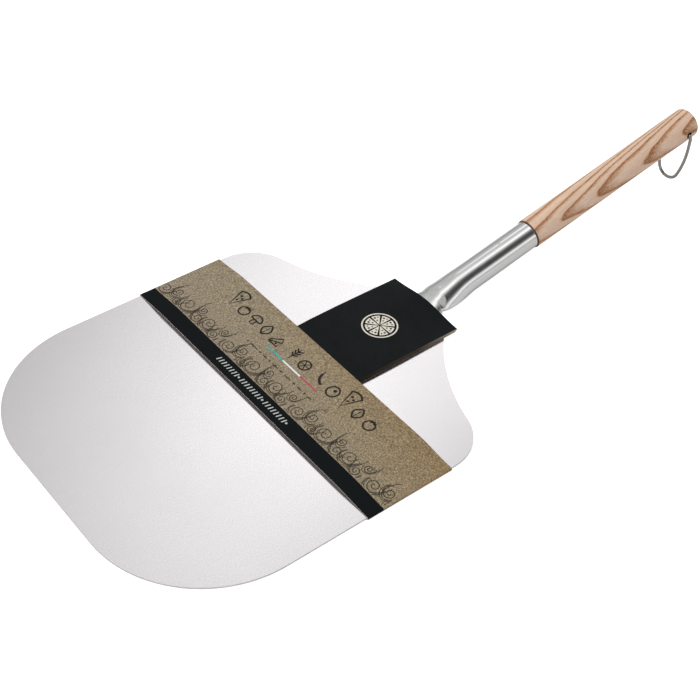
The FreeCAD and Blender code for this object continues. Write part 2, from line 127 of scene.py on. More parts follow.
# ------------------------------------------------------------------ handle socket
# An aluminium tube, 25 mm across with a 1.2 mm wall, pressed flat at its front
# into a tongue that lies on the blade, and polished where it stays round.
# Lengths in millimetres: x from the blade's front edge, s along the tube from its root.
FRONT = -333.0
BLADE_BOTTOM, BLADE_TOP = 0.55, 2.05
TILT = math.radians(11.97)
ROOT_X = 361.6
AXIS_ROOT = Vector(((ROOT_X + FRONT) * MM, 0, BLADE_TOP * MM))
TUBE_R, TUBE_WALL, TUBE_END = 12.5, 1.2, 108.6
NECK_AT = -3.7
PRESS_LENGTH, PRESS_WIDEN, PRESS_POWER = 38, 5.75, 1.7
SLOPE_DROP, SLOPE_FROM, SLOPE_RUN = 1.5, 30, 22
NECK_DROP, NECK_FROM, NECK_LEAN_RUN = 2.5, 7, 14
NECK_HALF, NECK_FLARE, NECK_CREASE = 17, 2, 2.4
TONGUE_FRONT, TONGUE_FLAT, TONGUE_REAR, TONGUE_HALF = 286.0, 322.0, 358.0, 18.0
TONGUE_FLOOR, TONGUE_GAP, NOSE_HALF, LEAST_RISE = -3.0, 0.01, 1.1, 0.03
CREASE_FRONT, CREASE_GAIN = 1.0, 1.4
ROUND_ROWS = 96


def smooth_step(t):
    t = min(max(t, 0.0), 1.0)
    return t * t * (3 - 2 * t)


def section_point(angle, disc_r, disc_z, half, floor, crease):
    """Point of the pressed section whose surface faces this way, measured from straight up.

    The section is a disc cut by upright sides and a floor, its corners rounded by crease."""
    y_way, z_way = math.sin(angle), math.cos(angle)
    r, side, low = disc_r - crease, half - crease, floor + crease
    spot = (r * y_way, disc_z + r * z_way)
    if abs(spot[0]) > side or spot[1] < low:
        hand = 1 if y_way >= 0 else -1
        low_y = math.sqrt(max(r * r - (low - disc_z) ** 2, 0))
        if low_y < side:
            spot = (hand * low_y, max(low, disc_z - r))
        else:
            side_z = disc_z + math.sqrt(max(r * r - side * side, 0))
            spot = max(((hand * side, side_z), (hand * side, low)),
                       key=lambda q: q[0] * y_way + q[1] * z_way)
    return spot[0] + crease * y_way, spot[1] + crease * z_way


def tube_point(s, angle):
    """The tube's outer face at distance s along its axis: pressed wide and low towards the blade."""
    sloped = SLOPE_DROP * smooth_step((SLOPE_FROM - s) / SLOPE_RUN)
    necked = NECK_DROP * smooth_step((NECK_FROM - s) / (NECK_FROM - NECK_AT))
    top = TUBE_R - sloped - necked
    crown_r = TUBE_R + PRESS_WIDEN * max((PRESS_LENGTH - s) / PRESS_LENGTH, 0) ** PRESS_POWER
    lean = TILT * min(max((s - NECK_AT) / NECK_LEAN_RUN, 0), 1)
    middle = (ROOT_X + s * math.cos(TILT), BLADE_TOP + s * math.sin(TILT))
    floor = (BLADE_BOTTOM - middle[1]) / math.cos(lean)
    half = NECK_HALF + NECK_FLARE * max(s - NECK_AT, 0)
    y, z = section_point(angle, crown_r, top - crown_r, half, floor, NECK_CREASE)
    return middle[0] - z * math.sin(lean) + FRONT, y, middle[1] + z * math.cos(lean)


def tongue_height(x):
    """Height of the tongue's crown over the blade: one wall in front, the tube's neck behind."""
    full = TUBE_R - SLOPE_DROP - NECK_DROP + NECK_AT * math.sin(TILT)
    along = max(x - TONGUE_FLAT, 0) / (TONGUE_REAR - TONGUE_FLAT)
    return TUBE_WALL + (full - TUBE_WALL) * along ** 1.5


def tongue_point(x, angle):
    """The tongue's outer face: flat on the blade in front, arching up to meet the tube."""
    along = max(x - TONGUE_FLAT, 0) / (TONGUE_REAR - TONGUE_FLAT)
    height = tongue_height(x)
    rise = max(height - TUBE_WALL * (1 - along), LEAST_RISE)
    half = TONGUE_HALF - (height - TUBE_WALL) ** 2 * 2 / 3 / TONGUE_HALF
    nose = min(x - TONGUE_FRONT, TONGUE_HALF)
    half = min(half, max(math.sqrt(nose * (2 * TONGUE_HALF - nose)), NOSE_HALF))
    crown_r = max((half ** 2 + rise ** 2) / (2 * rise), half)
    crease = CREASE_FRONT + CREASE_GAIN * along
    y, z = section_point(angle, crown_r, height - crown_r, half, TONGUE_FLOOR, crease)
    return x + FRONT, y, BLADE_TOP + max(z, TONGUE_GAP)


def grid_sheet(name, columns, rows, place):
    """A plane in columns and rows, its corners moved to place(column, row), in millimetres."""
    bpy.ops.object.select_all(action="DESELECT")
    bpy.ops.mesh.primitive_grid_add(x_subdivisions=columns - 1, y_subdivisions=rows - 1, size=1.0)
    sheet = bpy.context.object
    sheet.name = name
    sheet.data.name = name
    for vertex in sheet.data.vertices:
        column = round((vertex.co.x + 0.5) * (columns - 1))
        row = round((vertex.co.y + 0.5) * (rows - 1))
        vertex.co = Vector(place(column, row)) * MM
    return sheet


def apply_modifier(piece, kind, **settings):
    """Adds a modifier with these settings and applies it."""
    bpy.ops.object.select_all(action="DESELECT")
    piece.select_set(True)
    bpy.context.view_layer.objects.active = piece
    modifier = piece.modifiers.new(kind.lower(), kind)
    for key, value in settings.items():
        setattr(modifier, key, value)
    bpy.ops.object.modifier_apply(modifier=modifier.name)


def close_seam(piece, threshold=0.02 * MM, fill_ends=False):
    """Merges what touches, fills open ends if asked, and turns the faces outwards."""
    bpy.ops.object.select_all(action="DESELECT")
    piece.select_set(True)
    bpy.context.view_layer.objects.active = piece
    bpy.ops.object.mode_set(mode="EDIT")
    bpy.ops.mesh.select_all(action="SELECT")
    bpy.ops.mesh.remove_doubles(threshold=threshold)
    if fill_ends:
        bpy.ops.mesh.fill_holes(sides=0)
    bpy.ops.mesh.normals_make_consistent(inside=False)
    bpy.ops.object.mode_set(mode="OBJECT")


# Cuts along the tube, close together where it is pressed.
tube_stations = [NECK_AT + 1.2 * i for i in range(52)] + [70.0, 82.0, 95.0, 106.0, 108.1, TUBE_END]


def tube_place(column, row):
    return tube_point(tube_stations[column], 2 * math.pi * row / ROUND_ROWS)


tube = grid_sheet("handle_socket_pressed", len(tube_stations), ROUND_ROWS + 1, tube_place)
close_seam(tube)
apply_modifier(tube, "SOLIDIFY", thickness=TUBE_WALL * MM, offset=-1.0)
apply_modifier(tube, "BEVEL", width=0.25 * MM, segments=2, limit_method="ANGLE", angle_limit=math.radians(60))

tongue_stations = [TONGUE_FRONT + 0.05] + [TONGUE_FRONT + 0.4 * i ** 1.5 for i in range(1, 12)]
tongue_stations += [TONGUE_FRONT + 18 + 1.5 * i for i in range(36)] + [TONGUE_REAR]


def tongue_place(column, row):
    return tongue_point(tongue_stations[column], 2 * math.pi * row / ROUND_ROWS)


tongue = grid_sheet("handle_socket_tongue", len(tongue_stations), ROUND_ROWS + 1, tongue_place)
close_seam(tongue, 0.004 * MM, fill_ends=True)
tube.select_set(True)
bpy.context.view_layer.objects.active = tube
bpy.ops.object.join()
bpy.ops.object.shade_smooth_by_angle(angle=math.radians(35))


# Drawn aluminium tube, polished: sharper reflections than the blade, with light
# drawing lines along it and a few small pits.
DRAWING_LINE = 0.6 * MM


def drawn_aluminium(name, low, high):
    metal = new_material(name)
    place = add_node(metal, "ShaderNodeTexCoord")
    turned = add_node(metal, "ShaderNodeMapping", Vector=place.outputs["Object"], Rotation=(0, TILT, 0))
    along = add_node(metal, "ShaderNodeMapping", Vector=turned.outputs[0],
                     Scale=(12.0, 1 / DRAWING_LINE, 1 / DRAWING_LINE))
    lines = add_node(metal, "ShaderNodeTexNoise", Vector=along.outputs[0], Scale=1.0, Detail=3.0)
    handled = add_node(metal, "ShaderNodeTexNoise", Vector=turned.outputs[0], Scale=120.0, Detail=4.0,
                       Roughness=0.6)
    pits = add_node(metal, "ShaderNodeTexVoronoi", Vector=turned.outputs[0], Scale=170.0)
    pit = set_ramp(add_node(metal, "ShaderNodeValToRGB", Fac=pits.outputs["Distance"]),
                   [(0.05, 0.0), (0.10, 1.0)])
    tint = set_ramp(add_node(metal, "ShaderNodeValToRGB", Fac=lines.outputs[0]),
                    [(0.30, "dedede"), (0.65, "f2f2f1")])
    rough = add_node(metal, "ShaderNodeMapRange", Value=handled.outputs[0], i1=0.3, i2=0.7, i3=low, i4=high)
    first = add_node(metal, "ShaderNodeBump", Height=lines.outputs[0], Strength=0.08, Distance=0.05 * MM)
    second = add_node(metal, "ShaderNodeBump", Height=handled.outputs[0], Strength=0.20, Distance=0.1 * MM,
                      Normal=first.outputs[0])
    third = add_node(metal, "ShaderNodeBump", Height=pit.outputs[0], Strength=0.15, Distance=0.05 * MM,
                     Normal=second.outputs[0])
    shader = add_node(metal, "ShaderNodeBsdfPrincipled", Base_Color=tint.outputs[0], Metallic=1.0,
                      Roughness=rough.outputs[0], Normal=third.outputs[0])
    add_node(metal, "ShaderNodeOutputMaterial", Surface=shader.outputs[0])
    return metal


tube.data.materials.append(drawn_aluminium("drawn_aluminium_polished", 0.12, 0.19))
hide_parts("handle_socket")
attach(tube, "peel")

# ------------------------------------------------------------------ rivets
# Three round-headed aluminium rivets through the tongue and the blade, each
# with its snapped head above and its sunk head flush under the blade.
rivet_metal = drawn_aluminium("rivet_aluminium_headed", 0.28, 0.40)
for rivet in ("rivet_rear", "rivet_left", "rivet_right"):
    dress(rivet, rivet_metal)

# ------------------------------------------------------------------ handle grip
# A turned ash handle, 28 mm across, sanded and left unvarnished, with its front
# end turned down to fit in the tube.
GRIP_FRONT = 109.0
HOLE_AT, HOLE_R = 295.8, 2.7
WAVER, RAGGED = 2.6, 0.7
# Where each growth ring starts, in millimetres of depth through the rings.
RING_LINES = (-11, -6, -1, 5, 13.3, 21.7, 26.2, 29.8, 35.1, 39.8, 44.5, 49)


def turned_ash():
    """Pale ash: each growth ring starts in a brown line of open pores and fades to pale wood."""
    wood = new_material("turned_ash_sanded")
    place = add_node(wood, "ShaderNodeTexCoord")
    to_axis = Matrix.Rotation(TILT, 3, "Y") @ AXIS_ROOT
    # Millimetres from here on: x along the handle, y across, z up from its axis.
    axis = add_node(wood, "ShaderNodeMapping", Vector=place.outputs["Object"], Location=tuple(-to_axis / MM),
                    Rotation=(0, TILT, 0), Scale=(1 / MM, 1 / MM, 1 / MM))
    long_wave = add_node(wood, "ShaderNodeMapping", Vector=axis.outputs[0], Scale=(0.022, 0.09, 0.09))
    waver = add_node(wood, "ShaderNodeTexNoise", Vector=long_wave.outputs[0], Scale=1.0, Detail=2.0)
    fibre = add_node(wood, "ShaderNodeMapping", Vector=axis.outputs[0], Scale=(0.05, 1.5, 1.5))
    fibres = add_node(wood, "ShaderNodeTexNoise", Vector=fibre.outputs[0], Scale=1.0, Detail=3.0,
                      Roughness=0.6)
    vessel = add_node(wood, "ShaderNodeMapping", Vector=axis.outputs[0], Scale=(0.55, 1.5, 1.5))
    vessels = add_node(wood, "ShaderNodeTexNoise", Vector=vessel.outputs[0], Scale=1.0, Detail=2.0,
                       Roughness=0.7)
    # Depth through the rings: they run at a slant to the handle, so they come out as pointed arches.
    flat = add_node(wood, "ShaderNodeVectorMath", {"operation": "DOT_PRODUCT"}, i0=axis.outputs[0],
                    i1=(0.09, -0.906, 0.423))
    side = add_node(wood, "ShaderNodeVectorMath", {"operation": "DOT_PRODUCT"}, i0=axis.outputs[0],
                    i1=(0.0, 0.423, 0.906))
    curve = add_node(wood, "ShaderNodeMath", {"operation": "MULTIPLY"}, i0=side.outputs["Value"],
                     i1=side.outputs["Value"])
    bowed = add_node(wood, "ShaderNodeMath", {"operation": "MULTIPLY_ADD"}, i0=curve.outputs[0], i1=1 / 240,
                     i2=flat.outputs["Value"])
    wavered = add_node(wood, "ShaderNodeMath", {"operation": "MULTIPLY_ADD"}, i0=waver.outputs[0], i1=WAVER,
                       i2=bowed.outputs[0])
    ragged = add_node(wood, "ShaderNodeMath", {"operation": "MULTIPLY_ADD"}, i0=fibres.outputs[0],
                      i1=RAGGED, i2=wavered.outputs[0])
    shift = (WAVER + RAGGED) / 2
    depth = add_node(wood, "ShaderNodeMapRange", Value=ragged.outputs[0], i1=RING_LINES[0] + shift,
                     i2=RING_LINES[-1] + shift, i3=0.0, i4=1.0)
    count = add_node(wood, "ShaderNodeFloatCurve", i1=depth.outputs[0])
    points = count.mapping.curves[0].points
    span = RING_LINES[-1] - RING_LINES[0]
    for number, line in enumerate(RING_LINES[1:-1], start=1):
        points.new((line - RING_LINES[0]) / span, number / (len(RING_LINES) - 1))
    for point in points:
        point.handle_type = "VECTOR"
    count.mapping.update()
    years = add_node(wood, "ShaderNodeMath", {"operation": "MULTIPLY"}, i0=count.outputs[0],
                     i1=float(len(RING_LINES) - 1))
    year = add_node(wood, "ShaderNodeMath", {"operation": "FRACT"}, i0=years.outputs[0])
    ring = set_ramp(add_node(wood, "ShaderNodeValToRGB", Fac=year.outputs[0]),
                    [(0.0, "d2a179"), (0.05, "bb8453"), (0.15, "cf9f76"), (0.30, "e6c1a2"),
                     (0.5, "f4d8c1"), (0.93, "f0d0b7"), (1.0, "dfb595")])
    pores = set_ramp(add_node(wood, "ShaderNodeValToRGB", Fac=vessels.outputs[0]),
                     [(0.40, "a0693a"), (0.55, "ffffff")])
    where = set_ramp(add_node(wood, "ShaderNodeValToRGB", Fac=year.outputs[0]),
                     [(0.0, 0.8), (0.12, 0.9), (0.30, 0.5), (0.42, 0.18), (1.0, 0.12)])
    pored = add_node(wood, "ShaderNodeMix", {"data_type": "RGBA", "blend_type": "MULTIPLY"},
                     i0=where.outputs[0], i6=ring.outputs[0], i7=pores.outputs[0])
    grain = set_ramp(add_node(wood, "ShaderNodeValToRGB", Fac=fibres.outputs[0]),
                     [(0.30, "ecdfd4"), (0.62, "ffffff")])
    both = add_node(wood, "ShaderNodeMix", {"data_type": "RGBA", "blend_type": "MULTIPLY"},
                    i0=0.8, i6=pored.outputs[2], i7=grain.outputs[0])
    # Painted shade: the inside of the cross hole is coloured near black where shade falls in it.
    flattened = add_node(wood, "ShaderNodeVectorMath", {"operation": "MULTIPLY"}, i0=axis.outputs[0],
                         i1=(1.0, 0.0, 1.0))
    from_hole = add_node(wood, "ShaderNodeVectorMath", {"operation": "DISTANCE"}, i0=flattened.outputs[0],
                         i1=(HOLE_AT, 0.0, 0.0))
    painted_hole_shade = add_node(wood, "ShaderNodeMapRange", Value=from_hole.outputs["Value"], i1=HOLE_R,
                      i2=HOLE_R + 0.5, i3=1.0, i4=0.0)
    hole_shaded = add_node(wood, "ShaderNodeMix", {"data_type": "RGBA"}, i0=painted_hole_shade.outputs[0], i6=both.outputs[2],
                       i7=colour("1c130d"))
    # Painted shade: a dark band in the groove where the wood meets the tube.
    along = add_node(wood, "ShaderNodeSeparateXYZ", Vector=axis.outputs[0])
    painted_groove_shade = add_node(wood, "ShaderNodeMapRange", Value=along.outputs[0], i1=GRIP_FRONT + 0.5,
                    i2=GRIP_FRONT + 1.1, i3=0.85, i4=0.0)
    groove_shaded = add_node(wood, "ShaderNodeMix", {"data_type": "RGBA"}, i0=painted_groove_shade.outputs[0], i6=hole_shaded.outputs[2],
                     i7=colour("33261c"))
    rough = add_node(wood, "ShaderNodeMapRange", Value=fibres.outputs[0], i1=0.3, i2=0.7, i3=0.48, i4=0.62)
    height = add_node(wood, "ShaderNodeMath", {"operation": "MULTIPLY"}, i0=vessels.outputs[0],
                      i1=where.outputs[0])
    first = add_node(wood, "ShaderNodeBump", Height=fibres.outputs[0], Strength=0.25, Distance=0.1 * MM)
    second = add_node(wood, "ShaderNodeBump", Height=height.outputs[0], Strength=0.5, Distance=0.2 * MM,
                      Normal=first.outputs[0])
    shader = add_node(wood, "ShaderNodeBsdfPrincipled", Base_Color=groove_shaded.outputs[2],
                      Roughness=rough.outputs[0],
                      Normal=second.outputs[0])
    add_node(wood, "ShaderNodeOutputMaterial", Surface=shader.outputs[0])
    return wood


dress("handle_grip", turned_ash())

# ------------------------------------------------------------------ socket nail
# A small bright steel nail, driven through the tube's wall into the ash. It
# pins the two together, and only its head shows.
dress("socket_nail", drawn_aluminium("nail_steel_bright", 0.25, 0.35))

# ------------------------------------------------------------------ hanging ring
# A loop of bright steel wire, 3 mm thick, bent through the cross hole in the
# handle's end. It hangs loose and swings.

# Drawn steel wire, rubbed in use: darker than the aluminium, with fine dull specks.


def steel_wire():
    steel = new_material("steel_wire_bright")
    place = add_node(steel, "ShaderNodeTexCoord")
    rub = add_node(steel, "ShaderNodeTexNoise", Vector=place.outputs["Object"], Scale=700.0, Detail=3.0)
    tint = set_ramp(add_node(steel, "ShaderNodeValToRGB", Fac=rub.outputs[0]),
                    [(0.3, "8d8985"), (0.7, "b8b4af")])
    rough = add_node(steel, "ShaderNodeMapRange", Value=rub.outputs[0], i1=0.3, i2=0.7, i3=0.10, i4=0.20)
    bump = add_node(steel, "ShaderNodeBump", Height=rub.outputs[0], Strength=0.1, Distance=0.03 * MM)
    shader = add_node(steel, "ShaderNodeBsdfPrincipled", Base_Color=tint.outputs[0], Metallic=1.0,
                      Roughness=rough.outputs[0], Normal=bump.outputs[0])
    add_node(steel, "ShaderNodeOutputMaterial", Surface=shader.outputs[0])
    return steel


dress("hanging_ring", steel_wire())

# ------------------------------------------------------------------ card band
# A band of 0.4 mm kraft card folded round the blade, printed black along its
# front edge. It stands a little off the blade in the middle.
CARD = 0.4
BAND_FRONT, BAND_REAR = 168.0, 248.0
RISE_FRONT, RISE_REAR, RISE_EDGE, RISE_RUN = 2.8, 4.1, 0.75, 38
FOLD, FOLD_BULGE = 150.3, 1.2
STRIPE_REAR = 182.6


def band_top(x, y):
    """Height in millimetres of the band's printed face; x from the blade's front edge, y across."""
    rise = RISE_FRONT + (RISE_REAR - RISE_FRONT) * (x - BAND_FRONT) / (BAND_REAR - BAND_FRONT)
    return BLADE_TOP + RISE_EDGE + (rise - RISE_EDGE) * smooth_step((FOLD - abs(y)) / RISE_RUN)


def band_loop():
    """The band's outline across the blade, once round: a part, and y or the turn round a fold."""
    top = [("top", FOLD - 2 * FOLD * i / 120) for i in range(121)]
    near = [("near", math.pi * i / 8) for i in range(1, 8)]
    under = [("under", -FOLD + 2 * FOLD * i / 40) for i in range(41)]
    far = [("far", math.pi * i / 8) for i in range(1, 8)]
    return top + near + under + far + top[:1]


def band_point(x, part, value):
    if part == "top":
        return value, band_top(x, value)
    if part == "under":
        return value, 0.0
    edge = BLADE_TOP + RISE_EDGE
    side = FOLD + FOLD_BULGE * math.sin(value)
    drop = edge / 2 * (1 + math.cos(value))
    return (-side, drop) if part == "near" else (side, edge - drop)


band_rows = band_loop()
BAND_STEPS = 33


def band_place(column, row):
    x = BAND_FRONT + (BAND_REAR - BAND_FRONT) * column / (BAND_STEPS - 1)
    y, z = band_point(x, *band_rows[row])
    return x + FRONT, y, z


band = grid_sheet("card_band_folded", BAND_STEPS, len(band_rows), band_place)
close_seam(band)


# Uncoated kraft card: grey-brown with short dark and light fibres and soft
# clouding, browner where light has aged it, and matt black ink on the stripe.


def kraft_card(name, stops, is_face):
    card = new_material(name)
    place = add_node(card, "ShaderNodeTexCoord")
    cloud = add_node(card, "ShaderNodeTexNoise", Vector=place.outputs["Object"], Scale=750.0, Detail=3.0,
                     Roughness=0.7)
    fleck = add_node(card, "ShaderNodeTexNoise", Vector=place.outputs["Object"], Scale=260.0, Detail=4.0,
                     Roughness=0.6, Distortion=1.5)
    base = set_ramp(add_node(card, "ShaderNodeValToRGB", Fac=cloud.outputs[0]), stops)
    flecks = set_ramp(add_node(card, "ShaderNodeValToRGB", Fac=fleck.outputs[0]),
                      [(0.27, "8a8070"), (0.36, "f4f2ee"), (0.60, "ffffff")])
    kraft = add_node(card, "ShaderNodeMix", {"data_type": "RGBA", "blend_type": "MULTIPLY"},
                     i0=0.8, i6=base.outputs[0], i7=flecks.outputs[0])
    paper = kraft.outputs[2]
    if is_face:
        # Light has turned the near end and the rear edge of the band a shade browner.
        split = add_node(card, "ShaderNodeSeparateXYZ", Vector=place.outputs["Object"])
        length_aged = add_node(card, "ShaderNodeMapRange", Value=split.outputs[1], i1=FOLD * MM,
                               i2=-FOLD * MM, i3=0.0, i4=0.55)
        width_aged = add_node(card, "ShaderNodeMapRange", Value=split.outputs[0],
                              i1=(STRIPE_REAR + FRONT) * MM, i2=(BAND_REAR + FRONT) * MM, i3=0.0, i4=0.45)
        aged = add_node(card, "ShaderNodeMath", {"operation": "ADD"}, i0=length_aged.outputs[0],
                        i1=width_aged.outputs[0])
        browned = set_ramp(add_node(card, "ShaderNodeValToRGB", Fac=aged.outputs[0]),
                           [(0.0, "fffbf8"), (0.5, "fffbee"), (1.0, "f8e4c2")])
        toned = add_node(card, "ShaderNodeMix", {"data_type": "RGBA", "blend_type": "MULTIPLY"},
                         i0=1.0, i6=paper, i7=browned.outputs[0])
        paper = toned.outputs[2]
        inked = add_node(card, "ShaderNodeMath", {"operation": "LESS_THAN"}, i0=split.outputs[0],
                         i1=(STRIPE_REAR + FRONT) * MM)
        black = set_ramp(add_node(card, "ShaderNodeValToRGB", Fac=cloud.outputs[0]),
                         [(0.3, "070b0d"), (0.7, "0d1315")])
        shade = add_node(card, "ShaderNodeMix", {"data_type": "RGBA"}, i0=inked.outputs[0], i6=paper,
                         i7=black.outputs[0])
        paper = shade.outputs[2]
    bump = add_node(card, "ShaderNodeBump", Height=fleck.outputs[0], Strength=0.25, Distance=0.05 * MM)
    rough = add_node(card, "ShaderNodeMapRange", Value=cloud.outputs[0], i1=0.3, i2=0.7, i3=0.62, i4=0.78)
    shader = add_node(card, "ShaderNodeBsdfPrincipled", Base_Color=paper, Roughness=rough.outputs[0],
                      Specular_IOR_Level=0.12, Normal=bump.outputs[0])
    add_node(card, "ShaderNodeOutputMaterial", Surface=shader.outputs[0])
    return card


KRAFT_FACE = [(0.32, "6f665c"), (0.46, "908575"), (0.54, "a29785"), (0.68, "c6baa6")]
GREY_BOARD = [(0.34, "dedad3"), (0.68, "f0ede7")]
grey_board = kraft_card("grey_board_inside", GREY_BOARD, False)
band.data.materials.append(kraft_card("kraft_face_printed", KRAFT_FACE, True))
band.data.materials.append(grey_board)
apply_modifier(band, "SOLIDIFY", thickness=CARD * MM, offset=-1.0, use_even_offset=True,
               material_offset=1, material_offset_rim=1)
bpy.ops.object.shade_smooth_by_angle(angle=math.radians(35))
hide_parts("card_band")
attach(band, "sleeve")

# ------------------------------------------------------------------ neck cover
# A flap of the same card, printed black, folded down along both sides over the
# tongue and tucked under the band. Its rear edge is pushed up by the tube.
COVER_FRONT, COVER_REAR = 215.0, 352.6
COVER_HALF = 40.0
COVER_FOOT = BLADE_TOP + 0.3
COVER_RISE, COVER_SINK, SINK_FROM = 4.1, 1.1, 290.0
HUMP, HUMP_FROM, HUMP_POWER = 4.07, 318.0, 1.4
TUCK_END, TUCK_BLEND, TUCK_GAP = 249.0, 16.0, 0.5


def cover_side(x):
    """Height of the cover's folded edge above the blade."""
    under_band = (min(x, BAND_REAR) - BAND_FRONT) / (BAND_REAR - BAND_FRONT)
    tucked = RISE_FRONT + (RISE_REAR - RISE_FRONT) * under_band - TUCK_GAP
    free = COVER_RISE - COVER_SINK * max(x - SINK_FROM, 0.0) / (COVER_REAR - SINK_FROM)
    return tucked + (free - tucked) * smooth_step((x - TUCK_END) / TUCK_BLEND)


def cover_top(x, y):
    """Height in millimetres of the cover's printed face."""
    hump = HUMP * max((x - HUMP_FROM) / (COVER_REAR - HUMP_FROM), 0.0) ** HUMP_POWER
    return BLADE_TOP + cover_side(x) + hump * math.cos(math.pi * y / (2 * COVER_HALF)) ** 2


COVER_COLUMNS = 56
FOLD_RADIUS = 0.5
FOOT_CUT = 2.2
cover_walls = [("wall", 0.0), ("wall", 0.5), ("wall", 1.0)]
cover_walls += [("fold", math.pi / 2 * i / 4) for i in range(1, 4)]
cover_rows = cover_walls + [("top", i / 48) for i in range(49)] + cover_walls[::-1]


def cover_place(column, row):
    x = COVER_FRONT + (COVER_REAR - COVER_FRONT) * column / (COVER_COLUMNS - 1)
    part, value = cover_rows[row]
    sign = -1.0 if row < len(cover_rows) / 2 else 1.0
    edge = COVER_HALF - FOLD_RADIUS
    top = cover_top(x, edge)
    if part == "wall":
        foot = COVER_FOOT + max(x - (COVER_REAR - FOOT_CUT), 0.0)
        return x + FRONT, sign * COVER_HALF, foot + (top - FOLD_RADIUS - foot) * value
    if part == "fold":
        return (x + FRONT, sign * (edge + FOLD_RADIUS * math.cos(value)),
                top - FOLD_RADIUS + FOLD_RADIUS * math.sin(value))
    y = -edge + 2 * edge * value
    return x + FRONT, y, cover_top(x, y)


cover = grid_sheet("neck_cover_folded", COVER_COLUMNS, len(cover_rows), cover_place)
close_seam(cover)


# Matt black ink over smooth card, with a faint sheen; its folded walls carry a painted brown reflection.
def black_card():
    card = new_material("black_printed_card")
    place = add_node(card, "ShaderNodeTexCoord")
    cloud = add_node(card, "ShaderNodeTexNoise", Vector=place.outputs["Object"], Scale=90.0, Detail=4.0)
    fleck = add_node(card, "ShaderNodeTexNoise", Vector=place.outputs["Object"], Scale=900.0, Detail=2.0)
    ink = set_ramp(add_node(card, "ShaderNodeValToRGB", Fac=cloud.outputs[0]),
                   [(0.3, "060a0c"), (0.7, "0b1113")])
    # Painted reflection: the folded walls are coloured brown, paler towards the rear, for warm light reflected
    # onto them from below.
    split = add_node(card, "ShaderNodeSeparateXYZ", Vector=place.outputs["Object"])
    aside = add_node(card, "ShaderNodeMath", {"operation": "ABSOLUTE"}, i0=split.outputs[1])
    wall = add_node(card, "ShaderNodeMapRange", Value=aside.outputs[0], i1=(COVER_HALF - 0.45) * MM,
                    i2=(COVER_HALF - 0.1) * MM, i3=0.0, i4=1.0)
    rearward = add_node(card, "ShaderNodeMapRange", Value=split.outputs[0], i1=(BAND_REAR + FRONT) * MM,
                        i2=(COVER_REAR + FRONT) * MM, i3=0.0, i4=1.0)
    painted_wall_reflection = set_ramp(add_node(card, "ShaderNodeValToRGB", Fac=rearward.outputs[0]),
                    [(0.0, "2a221a"), (0.6, "4a4036"), (0.85, "8a7f72"), (1.0, "b0a596")])
    wall_reflection_tinted = add_node(card, "ShaderNodeMix", {"data_type": "RGBA"}, i0=wall.outputs[0], i6=ink.outputs[0],
                    i7=painted_wall_reflection.outputs[0])
    rough = add_node(card, "ShaderNodeMapRange", Value=fleck.outputs[0], i1=0.3, i2=0.7, i3=0.45, i4=0.62)
    bump = add_node(card, "ShaderNodeBump", Height=fleck.outputs[0], Strength=0.2, Distance=0.04 * MM)
    shader = add_node(card, "ShaderNodeBsdfPrincipled", Base_Color=wall_reflection_tinted.outputs[2],
                      Roughness=rough.outputs[0],
                      Specular_IOR_Level=0.12, Normal=bump.outputs[0])
    add_node(card, "ShaderNodeOutputMaterial", Surface=shader.outputs[0])
    return card


cover.data.materials.append(black_card())
cover.data.materials.append(grey_board)
apply_modifier(cover, "SOLIDIFY", thickness=CARD * MM, offset=-1.0, use_even_offset=True,
               material_offset=1, material_offset_rim=1)
bpy.ops.object.shade_smooth_by_angle(angle=math.radians(35))
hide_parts("neck_cover")
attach(cover, "sleeve")

# ------------------------------------------------------------------ prints on the sleeve
# Screen-printed marks, lying on the card as films of ink: a border of curls, a row
# of small food drawings, rules and pale marks, and a sliced round on the cover.
INK_LIFT = 0.04
INK_FILM = 0.03


def ink(name, low, high, rough):
    """Screen ink, a little uneven where the card's fibres show through."""
    film = new_material(name)
    place = add_node(film, "ShaderNodeTexCoord")
    wear = add_node(film, "ShaderNodeTexNoise", Vector=place.outputs["Object"], Scale=650.0, Detail=3.0)
    tint = set_ramp(add_node(film, "ShaderNodeValToRGB", Fac=wear.outputs[0]), [(0.35, low), (0.65, high)])
    bump = add_node(film, "ShaderNodeBump", Height=wear.outputs[0], Strength=0.1, Distance=0.03 * MM)
    shader = add_node(film, "ShaderNodeBsdfPrincipled", Base_Color=tint.outputs[0], Roughness=rough,
                      Specular_IOR_Level=0.15, Normal=bump.outputs[0])
    add_node(film, "ShaderNodeOutputMaterial", Surface=shader.outputs[0])
    return film


def printed(name, surface, strokes, fills, film, lift=INK_LIFT):
    """Lays strokes (points, width) and filled outlines, as (x, y) in millimetres, on a card surface."""
    work = bmesh.new()

    def corner(x, y):
        return work.verts.new(((x + FRONT) * MM, y * MM, (surface(x, y) + lift) * MM))

    for points, width in strokes:
        sides = []
        for i, (x, y) in enumerate(points):
            before, after = points[max(i - 1, 0)], points[min(i + 1, len(points) - 1)]
            way = Vector((after[0] - before[0], after[1] - before[1])).normalized()
            across = Vector((-way.y, way.x)) * width / 2
            sides.append((corner(x + across.x, y + across.y), corner(x - across.x, y - across.y)))
        for (a, b), (c, d) in zip(sides, sides[1:]):
            work.faces.new((a, b, d, c))
    for outline in fills:
        work.faces.new([corner(x, y) for x, y in outline])
    mesh = bpy.data.meshes.new(name)
    bmesh.ops.recalc_face_normals(work, faces=work.faces)
    for face in work.faces:
        if face.normal.z < 0:
            face.normal_flip()
    work.to_mesh(mesh)
    work.free()
    piece = bpy.data.objects.new(name, mesh)
    bpy.context.scene.collection.objects.link(piece)
    apply_modifier(piece, "SOLIDIFY", thickness=INK_FILM * MM, offset=1.0)
    piece.data.materials.append(film)
    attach(piece, "sleeve")
    return piece


